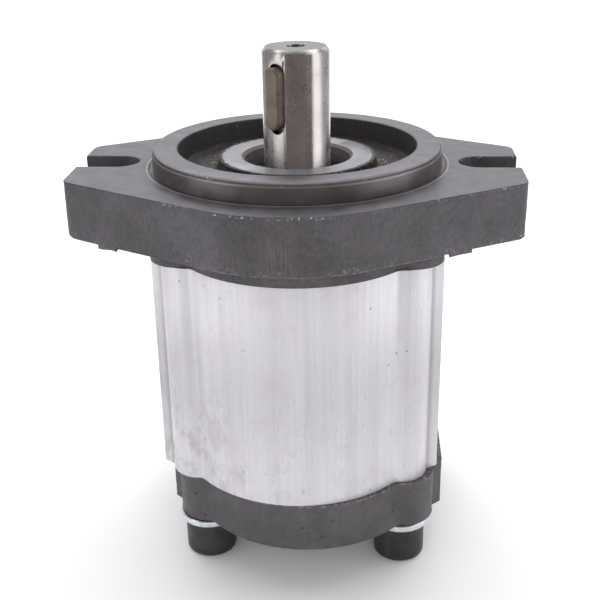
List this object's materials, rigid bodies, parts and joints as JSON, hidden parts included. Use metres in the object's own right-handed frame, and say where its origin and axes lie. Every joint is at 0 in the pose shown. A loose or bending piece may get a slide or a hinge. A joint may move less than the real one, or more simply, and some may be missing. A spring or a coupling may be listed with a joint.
{
  "type": "hydraulic gear pump",
  "caption": "External gear pump with a slotted oval mounting flange, round pilot, keyed drive shaft, side ports and a bolted rear cover.",
  "frame": {"origin": "drive shaft axis in the plane of the machined mounting face", "axes": "+Z out along the drive shaft, +X through the right-hand flange ear (pressure port side), +Y from the drive shaft towards the driven gear"},
  "size_m": [0.1262, 0.1229, 0.1568],
  "materials": {
    "flange_iron": "rough casting with machined faces",
    "body_aluminium": "extruded and worn",
    "cover_iron": "pitted casting",
    "shaft_steel": "ground and polished",
    "key_steel": "dull rolled",
    "block_aluminium": "machined",
    "bush_bronze": "machined",
    "seal_rubber": "matt black",
    "backup_plastic": "off-white",
    "seal_case_steel": "dark pressed",
    "spring_steel": "phosphated",
    "bolt_steel": "black oxide",
    "spring_washer_steel": "black oxide",
    "zinc_washer": "bright zinc plate",
    "dowel_steel": "ground"
  },
  "bodies": {
    "housing": {"mounting_flange": "flange_iron", "pump_body": "body_aluminium", "rear_cover": "cover_iron", "front_bearing_block": "block_aluminium", "rear_bearing_block": "block_aluminium", "front_drive_bush": "bush_bronze", "front_driven_bush": "bush_bronze", "rear_drive_bush": "bush_bronze", "rear_driven_bush": "bush_bronze", "front_balance_seal": "seal_rubber", "rear_balance_seal": "seal_rubber", "front_backup_ring": "backup_plastic", "rear_backup_ring": "backup_plastic", "front_body_seal": "seal_rubber", "rear_body_seal": "seal_rubber", "shaft_seal_case": "seal_case_steel", "shaft_seal_lip": "seal_rubber", "seal_garter_spring": "spring_steel", "seal_retaining_ring": "spring_steel", "through_bolts": "bolt_steel", "spring_washers": "spring_washer_steel", "plain_washers": "zinc_washer", "front_dowels": "dowel_steel", "rear_dowels": "dowel_steel"},
    "drive": {"drive_gear_shaft": "shaft_steel", "shaft_key": "key_steel"},
    "driven": {"driven_gear_shaft": "shaft_steel"}
  },
  "joints": [
    {"name": "drive_spin", "type": "hinge", "parent": "housing", "child": "drive", "pos_m": [0, 0, 0], "axis": [0, 0, 1], "continuous": true},
    {"name": "driven_spin", "type": "hinge", "parent": "housing", "child": "driven", "pos_m": [0, 0.036, 0], "axis": [0, 0, 1], "continuous": true}
  ],
  "couplings": [
    {"joint": "driven_spin", "follows": "drive_spin", "ratio": -1}
  ]
}
